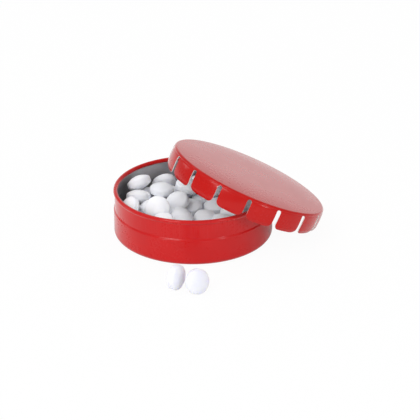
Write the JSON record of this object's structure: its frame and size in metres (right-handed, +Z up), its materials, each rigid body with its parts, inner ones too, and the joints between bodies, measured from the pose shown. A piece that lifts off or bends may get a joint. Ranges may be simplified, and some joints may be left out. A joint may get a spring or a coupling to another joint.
{
  "type": "candy dispenser",
  "caption": "Round red lacquered tinplate mint tin with a rolled rim, a loose spring-fingered snap lid leaning on the rim, and white mint tablets inside it and in front of it.",
  "frame": {"origin": "centre of the tin's flat underside", "axes": "+Z up along the tin's axis, front towards -Y, the lid's low side towards +X"},
  "size_m": [0.0631, 0.0685, 0.0282],
  "materials": {
    "red_lacquer": "glossy red lacquer on tinplate, bare grey metal inside",
    "pressed_sugar": "matt white pressed tablet"
  },
  "bodies": {
    "tin": {"base_tin": "red_lacquer", "mint_01": "pressed_sugar", "mint_02": "pressed_sugar", "mint_03": "pressed_sugar", "mint_04": "pressed_sugar", "mint_05": "pressed_sugar", "mint_06": "pressed_sugar", "mint_07": "pressed_sugar", "mint_08": "pressed_sugar", "mint_09": "pressed_sugar", "mint_10": "pressed_sugar", "mint_11": "pressed_sugar", "mint_12": "pressed_sugar", "mint_13": "pressed_sugar", "mint_14": "pressed_sugar", "mint_15": "pressed_sugar", "mint_16": "pressed_sugar", "mint_17": "pressed_sugar", "mint_18": "pressed_sugar", "mint_19": "pressed_sugar", "mint_20": "pressed_sugar", "mint_21": "pressed_sugar", "mint_22": "pressed_sugar", "mint_23": "pressed_sugar", "mint_24": "pressed_sugar", "mint_25": "pressed_sugar", "mint_26": "pressed_sugar", "mint_27": "pressed_sugar", "mint_28": "pressed_sugar", "mint_29": "pressed_sugar", "mint_30": "pressed_sugar", "mint_31": "pressed_sugar", "mint_32": "pressed_sugar", "mint_33": "pressed_sugar", "mint_34": "pressed_sugar", "mint_35": "pressed_sugar", "mint_36": "pressed_sugar", "mint_37": "pressed_sugar", "mint_38": "pressed_sugar", "mint_39": "pressed_sugar", "mint_40": "pressed_sugar", "mint_41": "pressed_sugar", "mint_42": "pressed_sugar", "mint_44": "pressed_sugar", "mint_45": "pressed_sugar", "mint_46": "pressed_sugar", "mint_47": "pressed_sugar", "mint_48": "pressed_sugar", "mint_50": "pressed_sugar", "mint_51": "pressed_sugar", "mint_54": "pressed_sugar", "mint_55": "pressed_sugar"},
    "lid": {"lid": "red_lacquer"},
    "loose_mint_43": {"mint_43": "pressed_sugar"},
    "loose_mint_49": {"mint_49": "pressed_sugar"},
    "loose_mint_52": {"mint_52": "pressed_sugar"},
    "loose_mint_53": {"mint_53": "pressed_sugar"},
    "loose_mint_56": {"mint_56": "pressed_sugar"},
    "spilled_mint_1": {"spilled_mint_1": "pressed_sugar"},
    "spilled_mint_2": {"spilled_mint_2": "pressed_sugar"}
  },
  "joints": [
    {"name": "lid_lift", "type": "slide", "parent": "tin", "child": "lid", "axis": [0, 0, 1], "range_m": [0, 0.035]},
    {"name": "mint_43_pick", "type": "slide", "parent": "tin", "child": "loose_mint_43", "axis": [0.0315, -0.1177, 0.9925], "range_m": [0, 0.025]},
    {"name": "mint_49_pick", "type": "slide", "parent": "tin", "child": "loose_mint_49", "axis": [0.133, 0.1116, 0.9848], "range_m": [0, 0.025]},
    {"name": "mint_52_pick", "type": "slide", "parent": "tin", "child": "loose_mint_52", "axis": [0.1677, 0.0449, 0.9848], "range_m": [0, 0.025]},
    {"name": "mint_53_pick", "type": "slide", "parent": "tin", "child": "loose_mint_53", "axis": [0.1504, -0.0868, 0.9848], "range_m": [0, 0.025]},
    {"name": "mint_56_pick", "type": "slide", "parent": "tin", "child": "loose_mint_56", "axis": [0, 0, 1], "range_m": [0, 0.025]},
    {"name": "spilled_mint_1_pick", "type": "slide", "parent": "tin", "child": "spilled_mint_1", "axis": [0, 0, 1], "range_m": [0, 0.025]},
    {"name": "spilled_mint_2_pick", "type": "slide", "parent": "tin", "child": "spilled_mint_2", "axis": [0, 0, 1], "range_m": [0, 0.025]}
  ]
}
